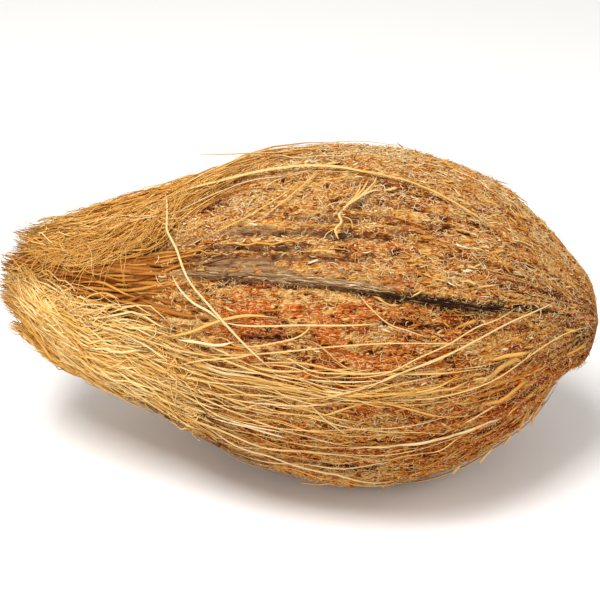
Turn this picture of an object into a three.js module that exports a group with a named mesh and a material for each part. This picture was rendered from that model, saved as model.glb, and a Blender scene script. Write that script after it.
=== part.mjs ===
// A part-husked coconut, lying on its side. The smooth outer skin is peeled away, which leaves the
// nut inside a thick coat of coir and pith, with a pointed apex at +X and a long tuft of uncut
// fibre at -X, over the eyes. It grew as one piece, so it is one solid. Millimetres, +Z up, with
// the origin under the middle of its box, on the surface that it lies on.
import * as THREE from "three";

// Driving dimensions.
const LENGTH = 210; // apex to the end of the tuft
const GIRTH = 118; // diameter at the widest ring
const REST_FLAT = 2.8; // how far the coat is pressed flat where it bears on the surface
const TUFT_LIFT = 2.5; // how far the tuft's end stands above the nut's axis
const TUFT_SWAY = 3; // and how far it leans to the back
const TUFT_TIP_RISE = 4; // how far the very end of the tuft curls up
const APEX_LIFT = 2.5; // how far the apex turns up

// The outline, as shares: [distance from the tuft's end / LENGTH, radius / half the GIRTH].
const OUTLINE = [
  [0.0, 0.0],
  [0.018, 0.24],
  [0.06, 0.37],
  [0.12, 0.462],
  [0.2, 0.563],
  [0.28, 0.668],
  [0.37, 0.808],
  [0.47, 0.932],
  [0.59, 1.0],
  [0.7, 0.968],
  [0.8, 0.85],
  [0.88, 0.645],
  [0.935, 0.435],
  [0.975, 0.28],
  [0.99, 0.175],
  [1.0, 0.0],
];
const RINGS = 68;
const SIDES = 52;

// Three keels run from the apex to the tuft, where the three lobes of the fruit meet. The first is
// the tallest, because the outer skin is still on it. Angles are degrees round +X from -Y to +Z.
const KEELS = [
  { at: 42, height: 2.6 },
  { at: 162, height: 1.5 },
  { at: 284, height: 1.1 },
];
const KEEL_TWIST = 12; // how far a keel turns from the apex to the tuft
const KEEL_WIDTH = 7; // half width of its crown
const LOBE_SWELL = 0.018; // how much fuller the lobes are between the keels
const CLEFT = { at: 64, depth: 5.0, width: 12 }; // the gap under the tuft's upper flap

const turn = THREE.MathUtils.degToRad;
const smooth = THREE.MathUtils.smoothstep;

// How far apart two directions round the axis are, from -180 to 180 degrees.
function between(angle, other) {
  return THREE.MathUtils.euclideanModulo(angle - other + 180, 360) - 180;
}

// Where a keel stands at this share of the length.
function keelAngle(keel, share) {
  return keel.at + KEEL_TWIST * (0.5 - share);
}

// What the keels, lobes, cleft and the coat's own lumps add to the outline's radius.
function relief(share, angle, radius) {
  const fade = smooth(radius, 0, GIRTH * 0.2);
  const nut = smooth(share, 0.16, 0.4);
  const phase = turn(3 * (angle - keelAngle(KEELS[0], share)));
  let added = -LOBE_SWELL * radius * Math.cos(phase) * nut;
  for (const keel of KEELS) {
    const off = between(angle, keelAngle(keel, share)) / KEEL_WIDTH;
    added += keel.height * Math.exp(-off * off) * (0.35 + 0.65 * nut);
  }
  const gap = between(angle, CLEFT.at) / CLEFT.width;
  const inTuft = smooth(share, 0.05, 0.14) * (1 - smooth(share, 0.26, 0.4));
  added -= CLEFT.depth * Math.exp(-gap * gap) * inTuft;
  const a = turn(angle);
  added += 0.5 * Math.sin(5 * a + 11 * share) + 0.4 * Math.sin(9 * a - 17 * share);
  const ragged = 1 - smooth(share, 0.06, 0.24);
  added += ragged * (0.9 * Math.sin(4 * a + 1.2) + 0.7 * Math.sin(7 * a - 0.6));
  return added * fade;
}

// The axis lifts and leans along the tuft, as bent fibre does, and turns up a little at the apex.
function axisOffset(share) {
  const bend = (1 - smooth(share, 0, 0.46)) ** 1.3;
  const curl = 1 - smooth(share, 0, 0.11);
  const tip = smooth(share, 0.72, 1);
  return {
    y: TUFT_SWAY * bend,
    z: TUFT_LIFT * bend + TUFT_TIP_RISE * curl + APEX_LIFT * tip,
  };
}

// The outline turned round Y, then laid along X and shaped vertex by vertex.
function coconutGeometry() {
  const outline = new THREE.CatmullRomCurve3(
    OUTLINE.map(([share, r]) => new THREE.Vector3((r * GIRTH) / 2, share * LENGTH, 0)),
    false,
    "centripetal",
  );
  const profile = outline
    .getPoints(RINGS)
    .map((p) => new THREE.Vector2(Math.max(p.x, 0), p.y));
  profile[0].set(0, 0);
  profile[RINGS].set(0, LENGTH);
  const geometry = new THREE.LatheGeometry(profile, SIDES);
  const places = geometry.getAttribute("position");
  for (let i = 0; i < places.count; i++) {
    const share = places.getY(i) / LENGTH;
    const radius = Math.hypot(places.getX(i), places.getZ(i));
    const angle = THREE.MathUtils.radToDeg(Math.atan2(places.getZ(i), places.getX(i)));
    const shaped = radius + relief(share, angle, radius);
    const off = axisOffset(share);
    places.setXYZ(
      i,
      share * LENGTH,
      off.y - shaped * Math.cos(turn(angle)),
      off.z + shaped * Math.sin(turn(angle)),
    );
  }
  return geometry;
}

// Sets the lowest part of the coat flat and moves the origin to the middle of the box's base.
function setDown(geometry) {
  geometry.computeBoundingBox();
  const floor = geometry.boundingBox.min.z + REST_FLAT;
  const places = geometry.getAttribute("position");
  for (let i = 0; i < places.count; i++) places.setZ(i, Math.max(places.getZ(i), floor));
  geometry.computeBoundingBox();
  const { min, max } = geometry.boundingBox;
  geometry.translate(-(min.x + max.x) / 2, -(min.y + max.y) / 2, -min.z);
  geometry.computeVertexNormals();
  return geometry;
}

const coir = new THREE.MeshStandardMaterial({
  color: new THREE.Color(0.63, 0.4, 0.19),
  roughness: 0.85,
  metalness: 0,
});
const coconut = new THREE.Mesh(setDown(coconutGeometry()), coir);
coconut.name = "coconut";

const part = new THREE.Group();
part.add(coconut);

export default part;
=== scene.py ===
import math

import bpy
import numpy as np
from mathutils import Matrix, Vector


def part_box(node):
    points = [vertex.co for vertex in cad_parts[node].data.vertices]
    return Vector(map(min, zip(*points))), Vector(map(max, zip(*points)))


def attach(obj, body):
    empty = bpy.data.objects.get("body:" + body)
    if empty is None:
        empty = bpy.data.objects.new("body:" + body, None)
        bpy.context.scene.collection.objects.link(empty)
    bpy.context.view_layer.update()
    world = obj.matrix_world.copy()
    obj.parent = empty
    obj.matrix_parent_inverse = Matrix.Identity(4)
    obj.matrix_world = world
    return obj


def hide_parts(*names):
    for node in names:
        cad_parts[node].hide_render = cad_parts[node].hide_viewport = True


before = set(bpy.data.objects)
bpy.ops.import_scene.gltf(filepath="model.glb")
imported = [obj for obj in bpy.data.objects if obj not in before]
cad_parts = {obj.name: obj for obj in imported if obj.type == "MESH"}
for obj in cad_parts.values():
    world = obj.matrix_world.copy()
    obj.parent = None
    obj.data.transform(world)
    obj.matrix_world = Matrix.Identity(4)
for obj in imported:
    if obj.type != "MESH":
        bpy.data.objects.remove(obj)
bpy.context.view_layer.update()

# ---------------------------------------------------------------------------------------------
# The stand: a pale matt table top, soft light from a wide overhead panel with two weaker fills,
# and a long lens that looks down on the fruit from the front, with the apex a little nearer.
AIM = (0.0019, 0.0, 0.0605)
CAMERA_TURN = 6.4
CAMERA_RISE = 30.0
CAMERA_REACH = 0.5804
LENS = 100.0


def tint(red, green, blue):
    """A colour given in display numbers from 0 to 255, as the linear share that a shader takes:
    the share of 255, plus 0.055, over 1.055, to the power 2.4."""
    share = (np.array([red, green, blue]) / 255.0 + 0.055) / 1.055
    return tuple(float(value) for value in share**2.4)


def direction(turn, rise):
    """The unit vector towards a stand that is `turn` degrees round +Z from -Y and `rise` up."""
    a, e = math.radians(turn), math.radians(rise)
    return np.array([math.sin(a) * math.cos(e), -math.cos(a) * math.cos(e), math.sin(e)])


def place_towards(thing, target, back, reach):
    """Puts a camera or lamp `reach` metres from the target along `back`, and points it there."""
    z = np.asarray(back, float)
    x = np.cross((0.0, 0.0, 1.0), z)
    x = x / np.linalg.norm(x) if np.linalg.norm(x) > 1e-6 else np.array([1.0, 0.0, 0.0])
    y = np.cross(z, x)
    world = np.eye(4)
    world[:3, 0], world[:3, 1], world[:3, 2] = x, y, z
    world[:3, 3] = np.asarray(target) + z * reach
    thing.matrix_world = world.T.tolist()


def soft_panel(name, turn, rise, reach, size, power):
    """A square area lamp at a stand round the fruit."""
    lamp = bpy.data.lights.new(name, "AREA")
    lamp.shape = "SQUARE"
    lamp.size = size
    lamp.energy = power
    panel = bpy.data.objects.new(name, lamp)
    bpy.context.scene.collection.objects.link(panel)
    place_towards(panel, AIM, direction(turn, rise), reach)


lens = bpy.data.cameras.new("camera")
lens.lens = LENS
lens.sensor_width = 36.0
lens.clip_start = 0.01
camera = bpy.data.objects.new("camera", lens)
bpy.context.scene.collection.objects.link(camera)
place_towards(camera, AIM, direction(CAMERA_TURN, CAMERA_RISE), CAMERA_REACH)
bpy.context.scene.camera = camera

soft_panel("overhead_panel", turn=-30.0, rise=66.0, reach=0.9, size=0.4, power=8.8)
soft_panel("front_fill", turn=-40.0, rise=14.0, reach=1.2, size=0.9, power=4.6)
soft_panel("side_fill", turn=75.0, rise=30.0, reach=1.2, size=0.8, power=3.0)

world = bpy.data.worlds.new("room")
world.use_nodes = True
world.node_tree.nodes["Background"].inputs["Color"].default_value = (1.0, 0.99, 0.97, 1.0)
world.node_tree.nodes["Background"].inputs["Strength"].default_value = 0.52
bpy.context.scene.world = world
bpy.context.scene.view_settings.view_transform = "Standard"


class Wire:
    """One output socket of a node. Sums, differences and products of wires and numbers add Math
    nodes, and add() adds any other node."""

    def __init__(self, tree, socket=None):
        self.tree = tree
        self.socket = socket

    def add(self, kind, settings=None, sockets=None, output=0):
        """Adds a node of this type, sets its settings, then gives each socket its value or its
        wire, and returns the chosen output. A ramp's stops are positions with display colours."""
        node = self.tree.nodes.new(kind)
        for name, value in (settings or {}).items():
            if name == "stops":
                ramp = node.color_ramp
                ramp.elements[0].position = value[0][0]
                ramp.elements[1].position = value[-1][0]
                for position, *_ in value[1:-1]:
                    ramp.elements.new(position)
                for element, (_, *colour) in zip(ramp.elements, value):
                    element.color = (*tint(*colour), 1.0)
            else:
                setattr(node, name, value)
        for name, value in (sockets or {}).items():
            if isinstance(value, Wire):
                self.tree.links.new(value.socket, node.inputs[name])
            else:
                node.inputs[name].default_value = value
        return Wire(self.tree, node.outputs[output])

    def calculate(self, operation, first, second):
        return self.add("ShaderNodeMath", {"operation": operation}, {0: first, 1: second})

    def __add__(self, other):
        return self.calculate("ADD", self, other)

    __radd__ = __add__

    def __sub__(self, other):
        return self.calculate("SUBTRACT", self, other)

    def __rsub__(self, other):
        return self.calculate("SUBTRACT", other, self)

    def __mul__(self, other):
        return self.calculate("MULTIPLY", self, other)

    __rmul__ = __mul__

    def step(self, low, high):
        """0 below low, 1 above high, and a straight slope between them."""
        sockets = {"Value": self, "From Min": low, "From Max": high}
        return self.add("ShaderNodeMapRange", {"clamp": True}, sockets)

    def blend(self, first, second):
        """The colour `first` where this wire is 0, and `second` where it is 1."""
        first = (*first, 1.0) if isinstance(first, tuple) else first
        second = (*second, 1.0) if isinstance(second, tuple) else second
        sockets = {0: self, 6: first, 7: second}
        return self.add("ShaderNodeMix", {"data_type": "RGBA"}, sockets, output=2)

    def noise(self, vector, scale, detail, roughness=0.5):
        """Chance relief from 0 to 1 at a scale in lumps per metre."""
        sockets = {"Vector": vector, "Scale": scale, "Detail": detail, "Roughness": roughness}
        return self.add("ShaderNodeTexNoise", sockets=sockets)

    def bump(self, distance):
        """A normal that is bent as if this wire raised the surface by up to the distance."""
        sockets = {"Strength": 1.0, "Distance": distance, "Height": self}
        return self.add("ShaderNodeBump", sockets=sockets)

    def other_output(self, number):
        """Another output of the same node."""
        return Wire(self.tree, self.socket.node.outputs[number])

    def feed(self, socket):
        """Links this wire to a shader's socket."""
        self.tree.links.new(self.socket, socket)


def new_material(name, roughness, specular):
    """A material with one Principled shader, whose reflection has the strength `specular`.
    Returns it, its shader's sockets and a first Wire."""
    material = bpy.data.materials.new(name)
    material.use_nodes = True
    shader = material.node_tree.nodes["Principled BSDF"]
    shader.inputs["Roughness"].default_value = roughness
    shader.inputs["Specular IOR Level"].default_value = specular
    return material, shader.inputs, Wire(material.node_tree)


TABLE_TOP = tint(247, 246, 244)
TABLE_HALF = 3.0
corner = np.array([[-1, -1, 0], [1, -1, 0], [1, 1, 0], [-1, 1, 0]]) * TABLE_HALF
table_mesh = bpy.data.meshes.new("table_top")
table_mesh.from_pydata(corner.tolist(), [], [(0, 1, 2, 3)])
table_top = bpy.data.objects.new("table_top", table_mesh)
bpy.context.scene.collection.objects.link(table_top)
matt, matt_sockets, _ = new_material("pale_matt", roughness=0.9, specular=0.2)
matt_sockets["Base Color"].default_value = (*TABLE_TOP, 1.0)
table_mesh.materials.append(matt)

# ---------------------------------------------------------------------------------------------
# The husk: the thick coat of pith and bound coir that is left when the outer skin is peeled off.
# It grew as three lobes that meet at three keels, so each lobe is one closed wedge of the fruit,
# from its torn outer face in to the axis. Furrows, ledges and pits follow the grain.
MM = 0.001
LENGTH = 210 * MM
GIRTH = 118 * MM
TUFT_LIFT = 2.5 * MM
TUFT_SWAY = 3.0 * MM
TUFT_TIP_RISE = 4.0 * MM
APEX_LIFT = 2.5 * MM
# The outline: shares of the length, with the radius there as a share of the widest.
OUTLINE = [
    (0.0, 0.0), (0.018, 0.24), (0.06, 0.37), (0.12, 0.462), (0.2, 0.563), (0.28, 0.668),
    (0.37, 0.808), (0.47, 0.932), (0.59, 1.0), (0.7, 0.968), (0.8, 0.85), (0.88, 0.645),
    (0.935, 0.435), (0.975, 0.28), (0.99, 0.175), (1.0, 0.0),
]
# Each keel: where it stands (degrees), its height, and how deep the crevice beside it is.
KEELS = [(42.0, 2.6 * MM, 3.0 * MM), (162.0, 1.5 * MM, 1.6 * MM), (284.0, 1.1 * MM, 1.2 * MM)]
KEEL_TWIST = 12.0
KEEL_WIDTH = 7.0
LOBE_NAMES = ("front", "top", "back")
LOBE_SWELL = 0.018
# Each long groove, in the face of the top lobe or of the front one: its direction, and the
# shares of the length that it runs between.
GROOVES = (
    (49.5, 0.36, 0.68),
    (53.5, 0.34, 0.58),
    (57.5, 0.4, 0.76),
    (62.5, 0.48, 0.82),
    (69.0, 0.54, 0.86),
    (76.0, 0.56, 0.8),
    (52.0, 0.74, 0.92),
    (20.5, 0.42, 0.6),
    (27.5, 0.64, 0.84),
    (-14.0, 0.6, 0.82),
)
GROOVE_DEPTH = 2.4 * MM
GROOVE_WIDTH = 1.3
CLEFT_AT, CLEFT_DEPTH, CLEFT_WIDTH = 64.0, 5.0 * MM, 12.0
BEAK_AT, BEAK_DEPTH, BEAK_WIDTH = -58.0, 4.8 * MM, 38.0
CREVICE_OFF = -3.3
GAP_AT, GAP_DEPTH, GAP_WIDTH = -32.5, 4.2 * MM, 2.6
CAVITY_AT, CAVITY_DEPTH, CAVITY_WIDTH = 53.0, 6.0 * MM, 13.0
NOTCH_AT, NOTCH_DEPTH, NOTCH_WIDTH = 4.0, 3.4 * MM, 24.0
LOW_SKIN_AT = -46.0
PIT_DEPTH = 1.4 * MM
COIR_COVER = 0.6 * MM
CORE_NARROWING = 0.22
CORE_SHORT = 10 * MM
LOBE_ROWS = 352
LOBE_COLUMNS = 258
# Across the husk's texture: the face's strip, the axis, and the start and width of the two walls.
FACE_STRIP, AXIS_STRIP = (0.01, 0.94), 0.965
WALL_STRIPS, WALL_WIDTH = (0.98, 0.955), 0.012
# How dark the mean face is, from 0 to 1, and the depth of a pit whose painted shade
# makes it fully dark.
FACE_SHADE, SHADE_DEPTH = 0.4, 3.2 * MM


def smooth(low, high, x):
    """0 below low, 1 above high, and 3t² - 2t³ of the share t of the way between them."""
    t = np.clip((x - low) / (high - low), 0.0, 1.0)
    return t * t * (3.0 - 2.0 * t)


def window(start, full, last, end, x):
    """0 below start, 1 from full to last, and 0 above end, with smooth slopes between them."""
    return smooth(start, full, x) * (1 - smooth(last, end, x))


def between(angle, other):
    """How far one direction round the axis is from another, from -180 to 180 degrees."""
    return (angle - other + 180.0) % 360.0 - 180.0


def bell(x, width):
    """exp(-(x / width)²): 1 at 0, and nearly 0 past two widths."""
    return np.exp(-((x / width) ** 2))


def curve_through(points, count):
    """`count` places on a smooth curve through the points. Between each two points it is the
    cubic whose end slopes come from the neighbours, with each gap timed by the root of its
    length, so that the curve neither loops nor overshoots."""
    p = np.asarray(points, float)
    p = np.vstack([2 * p[0] - p[1], p, 2 * p[-1] - p[-2]])
    gap = np.sqrt(np.linalg.norm(np.diff(p, axis=0), axis=1))[:, None]
    slope = np.diff(p, axis=0) / gap
    middle = (p[2:] - p[:-2]) / (gap[1:] + gap[:-1])
    bend = slope[:-1] - middle + slope[1:]
    out = bend[:-1] * gap[1:-1]
    into = bend[1:] * gap[1:-1]
    along = np.linspace(0.0, len(points) - 1.0, count)
    i = np.minimum(along.astype(int), len(points) - 2)
    t = (along - i)[:, None]
    return (
        (2 * t**3 - 3 * t**2 + 1) * p[1:-1][i]
        + (t**3 - 2 * t**2 + t) * out[i]
        + (3 * t**2 - 2 * t**3) * p[2:][i]
        + (t**3 - t**2) * into[i]
    )


profile = curve_through(OUTLINE, 3000) * (1.0, GIRTH / 2)
profile[:, 1] = np.maximum(profile[:, 1], 0.0)


def girth_at(share):
    """The outline's radius at a share of the length."""
    return np.interp(share, profile[:, 0], profile[:, 1])


def keel_angle(stands_at, share):
    """Where a keel stands: it turns KEEL_TWIST degrees from the apex to the tuft."""
    return stands_at + KEEL_TWIST * (0.5 - share)


def off_keel(stands_at, share, angle):
    """How many degrees a direction is past a keel, from -180 to 180."""
    return between(angle, keel_angle(stands_at, share))


def coat_relief(share, angle, radius):
    """The coat's shape over its round outline, as the CAD solid has it: fuller lobes, a bell for
    each keel, the cleft under the tuft's upper flap, and a few slow waves round the coat. Only
    the hollow under the beak at the apex is not in the solid."""
    nut = smooth(0.16, 0.4, share)
    a = np.radians(angle)
    first = keel_angle(KEELS[0][0], share)
    added = -LOBE_SWELL * radius * np.cos(np.radians(3 * (angle - first))) * nut
    for stands_at, height, _ in KEELS:
        off = off_keel(stands_at, share, angle)
        added = added + height * bell(off, KEEL_WIDTH) * (0.35 + 0.65 * nut)
    in_tuft = window(0.05, 0.14, 0.26, 0.4, share)
    added = added - CLEFT_DEPTH * bell(between(angle, CLEFT_AT), CLEFT_WIDTH) * in_tuft
    added = added + 0.5 * MM * np.sin(5 * a + 11 * share) + 0.4 * MM * np.sin(9 * a - 17 * share)
    under_beak = bell(between(angle, BEAK_AT), BEAK_WIDTH) * bell(share - 0.947, 0.024)
    added = added - BEAK_DEPTH * under_beak
    ragged = 1 - smooth(0.06, 0.24, share)
    waves = 0.9 * MM * np.sin(4 * a + 1.2) + 0.7 * MM * np.sin(7 * a - 0.6)
    return (added + ragged * waves) * smooth(0.0, GIRTH * 0.2, radius)


def axis_at(share):
    """The middle of the fruit's section: it lifts and leans along the tuft, curls up at the
    tuft's very end, and turns up a little at the apex."""
    bend = (1 - smooth(0.0, 0.46, share)) ** 1.3
    curl = 1 - smooth(0.0, 0.11, share)
    tip = smooth(0.72, 1.0, share)
    lift = TUFT_LIFT * bend + TUFT_TIP_RISE * curl + APEX_LIFT * tip
    return np.stack([share * LENGTH, TUFT_SWAY * bend, lift], -1)


def round_axis(share, angle, radius):
    """The point at this radius from the axis, in the direction of the angle from -Y to +Z."""
    a = np.radians(angle)
    turned = np.stack([np.zeros_like(a), -np.cos(a), np.sin(a)], -1)
    return axis_at(share) + turned * radius[..., None]


# The CAD solid's box says where the coat stands: its apex, its middle from front to back, and
# its top. The coat's lowest part is pressed flat on the table.
low_corner, high_corner = (np.array(corner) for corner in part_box("coconut"))
trial_share, trial_angle = np.meshgrid(profile[::20, 0], np.arange(0.0, 360.0, 2.0))
trial_radius = girth_at(trial_share)
trial_radius = trial_radius + coat_relief(trial_share, trial_angle, trial_radius)
trial = round_axis(trial_share, trial_angle, trial_radius)
SEAT = np.array(
    [
        low_corner[0],
        (low_corner[1] + high_corner[1]) / 2 - (trial[..., 1].min() + trial[..., 1].max()) / 2,
        high_corner[2] - trial[..., 2].max(),
    ]
)
TABLE_GAP = 0.2 * MM


def coat(share, angle, depth=0.0, keep=1.0):
    """The coat's surface, sunk by `depth` towards the axis and narrowed to the share `keep`."""
    share, angle = np.broadcast_arrays(np.asarray(share, float), np.asarray(angle, float))
    radius = girth_at(share)
    radius = (radius + coat_relief(share, angle, radius)) * keep
    return round_axis(share, angle, np.maximum(radius - depth, 0.0)) + SEAT


def unit(vectors):
    """Each vector over its own length."""
    return vectors / np.maximum(np.linalg.norm(vectors, axis=-1, keepdims=True), 1e-12)


def coat_frame(share, angle):
    """The coat's point, and its unit vectors along the grain, round the fruit and outwards, from
    the surface's differences over a small step each way."""
    inner = np.clip(share, 0.004, 0.996)
    step, swing = 0.003, 1.0
    along = unit(coat(inner + step, angle) - coat(inner - step, angle))
    across = unit(coat(inner, angle + swing) - coat(inner, angle - swing))
    out = unit(np.cross(along, across))
    return coat(share, angle), along, np.cross(out, along), out


def grain(share, angle, rows, columns, seed):
    """Smooth chance relief from -1 to 1: a table of random numbers with `rows` steps along the
    fruit and `columns` round it, blended between neighbours, which meets itself round the back."""
    table = np.random.default_rng(seed).uniform(-1.0, 1.0, (rows + 2, columns))
    u = np.clip(share, 0.0, 1.0) * rows
    v = (angle / 360.0 % 1.0) * columns
    i, j = np.floor(u).astype(int), np.floor(v).astype(int)
    fu, fv = smooth(0.0, 1.0, u - i), smooth(0.0, 1.0, v - j)
    near = table[i, j % columns] * (1 - fv) + table[i, (j + 1) % columns] * fv
    far = table[i + 1, j % columns] * (1 - fv) + table[i + 1, (j + 1) % columns] * fv
    return near * (1 - fu) + far * fu


def scales(share, angle, rows, columns, seed):
    """Chance plateaus from -1 to 1, like bark: every point takes the height of the nearest seed
    of a jittered table with `rows` steps along the fruit and `columns` round it. The distances
    are bent by finer chance relief, which makes the plateaus' edges ragged."""
    dice = np.random.default_rng(seed)
    heights = dice.uniform(-1.0, 1.0, (rows + 4, columns))
    shifts = dice.uniform(0.0, 1.0, (2, rows + 4, columns))
    bend = [0.45 * grain(share, angle, 2 * rows, 2 * columns, seed + n) for n in (1, 2)]
    u = np.clip(share, 0.0, 1.0) * rows + 1.0 + bend[0]
    v = (angle / 360.0 % 1.0) * columns + bend[1]
    i, j = np.floor(u).astype(int), np.floor(v).astype(int)
    height, nearest = np.zeros(u.shape), np.full(u.shape, 9.0)
    for di in (-1, 0, 1):
        for dj in (-1, 0, 1):
            row, column = np.clip(i + di, 0, rows + 3), (j + dj) % columns
            gap = np.hypot(i + di + shifts[0, row, column] - u, j + dj + shifts[1, row, column] - v)
            closer = gap < nearest
            height = np.where(closer, heights[row, column], height)
            nearest = np.where(closer, gap, nearest)
    return height


def grooves(share, angle):
    """How deep the face lies in the long grooves, from 0 to 1: each is a narrow bell that
    wanders a little, and fades out at both ends."""
    sunk = np.zeros(np.broadcast(share, angle).shape)
    for number, (stands_at, first, last) in enumerate(GROOVES):
        drift = GROOVE_WIDTH * grain(share, 0 * angle, 26, 8, 60 + number)
        shown = window(first, first + 0.05, last - 0.07, last, share)
        sunk = np.maximum(sunk, shown * bell(between(angle, stands_at) + drift, GROOVE_WIDTH))
    return sunk


def weathering(share, angle):
    """How grey the coat is, from 0 to 1: a narrow band on each keel's crown, where the old skin
    lasted longest, broken streaks along the grain above it, a smooth strip low down, and the top
    lobe's grooves."""
    grey = np.zeros(np.broadcast(share, angle).shape)
    streak = smooth(0.1, 0.5, grain(share, angle, 7, 150, 11) + 0.4 * grain(share, angle, 40, 260, 17))
    for (stands_at, _, _), strength in zip(KEELS, (1.0, 0.8, 0.7)):
        off = off_keel(stands_at, share, angle)
        reach = 6.5 * (1 - smooth(0.44, 0.56, share))
        band = smooth(-3.4, -2.4, off) * (1 - smooth(-0.8, 1.4, off - reach))
        above = streak * window(0.0, 3.0, 19.0, 26.0, off)
        grey = np.maximum(grey, np.maximum(band * (1 - 0.3 * streak), above) * strength)
    grey = grey * window(0.3, 0.37, 0.62, 0.74, share)
    low = bell(between(angle, LOW_SKIN_AT), 9.0)
    low = low * window(0.14, 0.22, 0.4, 0.5, share)
    seams = 0.6 * smooth(0.1, 0.6, grooves(share, angle)) * (1 - smooth(0.6, 0.7, share))
    seams = seams * smooth(30.0, 44.0, angle)
    return np.clip(np.maximum(np.maximum(grey, low), seams), 0.0, 1.0)


def ruddiness(share, angle):
    """How red the pith is, from 0 to 1: strongest in patches below the first keel, weaker on the
    belly, with stray patches all round."""
    off = off_keel(KEELS[0][0], share, angle)
    below = bell(off + 19.0, 15.0) * window(0.36, 0.46, 0.76, 0.92, share)
    below = np.maximum(below, 0.75 * bell(off + 56.0, 26.0) * smooth(0.4, 0.55, share))
    patch = 0.5 + 0.5 * grain(share, angle, 26, 60, 12) + 0.4 * grain(share, angle, 70, 150, 13)
    stray = smooth(0.2, 0.7, grain(share, angle, 13, 26, 14)) * smooth(0.2, 0.4, share)
    return np.clip(below * smooth(0.15, 0.8, patch) + 0.45 * stray * patch, 0.0, 1.0)


def crevices(share, angle):
    """The cracks beside the keels and the long gap low in front, in metres deep: a narrow bell
    across each. A keel's crack is deeper towards the apex, and gapes most at the share 0.78."""
    deep = np.zeros(np.broadcast(share, angle).shape)
    for stands_at, _, crevice in KEELS:
        off = off_keel(stands_at, share, angle) - 1.5 * smooth(0.76, 0.9, share)
        drift = 0.6 * grain(share, 0 * angle, 24, 8, 8)
        opened = window(0.3, 0.42, 0.93, 0.98, share)
        opened = opened * (0.55 + 0.45 * smooth(0.6, 0.72, share))
        gaping = bell(share - 0.78, 0.07)
        across = bell(off - CREVICE_OFF + drift, 1.5 + gaping)
        deep = deep + crevice * (1 + 0.5 * gaping) * across * opened
    ragged = 1.5 * grain(share, 0 * angle, 30, 8, 18)
    gap = window(0.46, 0.58, 0.74, 0.86, share)
    off = between(angle, GAP_AT) - 9.0 * (share - 0.66) + ragged
    return deep + GAP_DEPTH * bell(off, GAP_WIDTH) * gap


def torn_face(share, angle):
    """The pith's torn face, in metres under its mean: scales of two sizes in steps, furrows with
    the grain, crumbs, and pits. The old skin on the keels is far smoother."""
    rough = 1 - 0.6 * smooth(0.5, 1.0, weathering(share, angle))
    patch = 0.65 + 0.35 * grain(share, angle, 9, 16, 15)
    steps = 0.5 * MM * scales(share, angle, 26, 120, 30)
    steps = steps + 0.4 * MM * scales(share, angle, 64, 240, 40)
    towards_apex = smooth(0.66, 0.88, share)
    furrows = 0.8 * MM * (1 - np.abs(grain(share, angle, 9, 110, 1))) ** 5
    sharper = 1.8 * MM * (1 - np.abs(grain(share, angle, 12, 130, 10))) ** 4
    furrows = furrows + sharper * towards_apex
    crumbs = 0.3 * MM * grain(share, angle, 150, 340, 5) + 0.3 * MM * grain(share, angle, 70, 260, 9)
    pits = PIT_DEPTH * smooth(0.5, 0.75, grain(share, angle, 70, 220, 6))
    loosened = (steps * patch + crumbs + pits) * rough * (1 - 0.5 * towards_apex)
    return loosened + furrows * (0.5 + 0.5 * patch)


def slow_carving(share, angle):
    """The husk's hollows, in metres under the coat: the coir's own cover, slow waves, the
    crevices, the long grooves, the cavity under the tuft's flap and a notch at the apex. Each
    keel's sharp crown stands out."""
    sunk = COIR_COVER + 0.3 * MM + 0.6 * MM * grain(share, angle, 11, 22, 7) + crevices(share, angle)
    for stands_at, height, _ in KEELS:
        off = off_keel(stands_at, share, angle)
        sunk = sunk - 0.45 * height * bell(off + 1.4, 1.9) * smooth(0.2, 0.3, share)
    sunk = sunk + GROOVE_DEPTH * grooves(share, angle)
    hollow = window(0.04, 0.12, 0.28, 0.34, share)
    sunk = sunk + CAVITY_DEPTH * bell(between(angle, CAVITY_AT), CAVITY_WIDTH) * hollow
    notch = bell(between(angle, NOTCH_AT), NOTCH_WIDTH) * bell(share - 0.972, 0.014)
    return sunk + NOTCH_DEPTH * notch


def husk_carving(share, angle):
    """How far the husk's face lies under the coat, in metres: its hollows and its torn face,
    which both fade out at the two ends."""
    sunk = slow_carving(share, angle) + torn_face(share, angle)
    return sunk * smooth(0.0, 12 * MM, girth_at(share))


def new_piece(name, points, faces, uv, material):
    """A mesh object at the origin from points, the arrays of faces with equal corners, and one
    texture place per point. It is smooth-shaded, wears the material, rides on the fruit's body
    and never reaches below the table."""
    points = np.array(points)
    points[:, 2] = np.maximum(points[:, 2], TABLE_GAP)
    mesh = bpy.data.meshes.new(name)
    corners = np.concatenate([group.ravel() for group in faces])
    sizes = np.concatenate([np.full(len(group), group.shape[1]) for group in faces])
    starts = np.concatenate([[0], np.cumsum(sizes)[:-1]])
    mesh.vertices.add(len(points))
    mesh.vertices.foreach_set("co", points.astype(np.float32).ravel())
    mesh.loops.add(len(corners))
    mesh.loops.foreach_set("vertex_index", corners.astype(np.int32))
    mesh.polygons.add(len(sizes))
    mesh.polygons.foreach_set("loop_start", starts.astype(np.int32))
    mesh.uv_layers.new(name="OFBake").data.foreach_set("uv", uv[corners].astype(np.float32).ravel())
    mesh.polygons.foreach_set("use_smooth", np.ones(len(sizes), bool))
    mesh.update(calc_edges=True)
    mesh.materials.append(material)
    piece = bpy.data.objects.new(name, mesh)
    bpy.context.scene.collection.objects.link(piece)
    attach(piece, "root")
    return piece


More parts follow.
